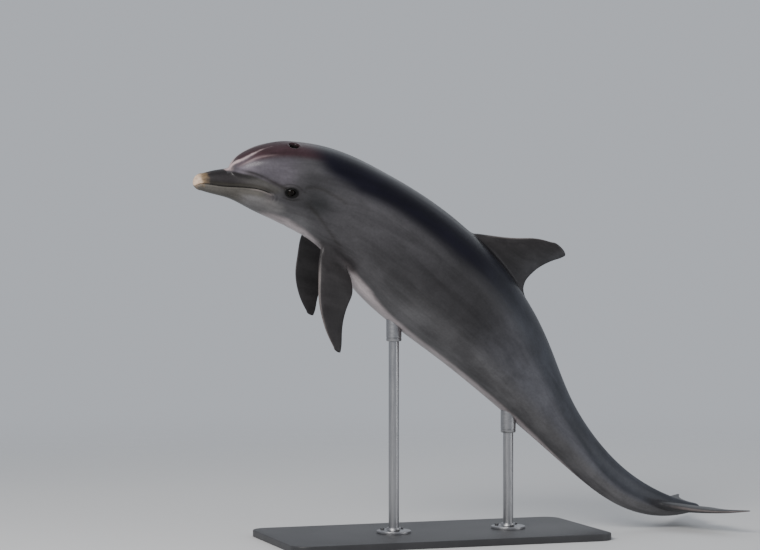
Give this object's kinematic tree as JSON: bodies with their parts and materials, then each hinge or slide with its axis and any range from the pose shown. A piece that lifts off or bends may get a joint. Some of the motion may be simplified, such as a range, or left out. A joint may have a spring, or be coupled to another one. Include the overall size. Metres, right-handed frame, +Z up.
{
  "type": "bottlenose dolphin display model",
  "caption": "Life-size still model of a leaping bottlenose dolphin, arched head down with its flippers hanging, held over a flat base by upright rods.",
  "frame": {"origin": "centre of the model's box, on the floor under the stand's base", "axes": "+Z up, +X from the snout towards the tail, +Y to the dolphin's right"},
  "size_m": [2.0059, 0.626, 1.4224],
  "materials": {
    "skin": "wet-looking smooth skin, near black on the back, grey on the flank, pale pinkish grey below",
    "eye": "dark brown, polished",
    "stand_plate": "fine satin black powder coat",
    "stand_steel": "brushed",
    "stand_screw": "satin"
  },
  "bodies": {
    "root": {"beak_upper": "skin", "jaw_lower": "skin", "melon": "skin", "head": "skin", "neck": "skin", "chest": "skin", "abdomen": "skin", "loin": "skin", "tail_stock": "skin", "tail_end": "skin", "dorsal_fin": "skin", "flipper_left": "skin", "flipper_right": "skin", "fluke_left": "skin", "fluke_right": "skin", "eye_left": "eye", "eye_right": "eye", "stand_base": "stand_plate", "stand_rod_front": "stand_steel", "stand_rod_rear": "stand_steel", "stand_flange_front": "stand_steel", "stand_flange_rear": "stand_steel", "stand_cup_front": "stand_steel", "stand_cup_rear": "stand_steel", "stand_screw_front_1": "stand_screw", "stand_screw_front_2": "stand_screw", "stand_screw_front_3": "stand_screw", "stand_screw_rear_1": "stand_screw", "stand_screw_rear_2": "stand_screw", "stand_screw_rear_3": "stand_screw"}
  },
  "joints": []
}
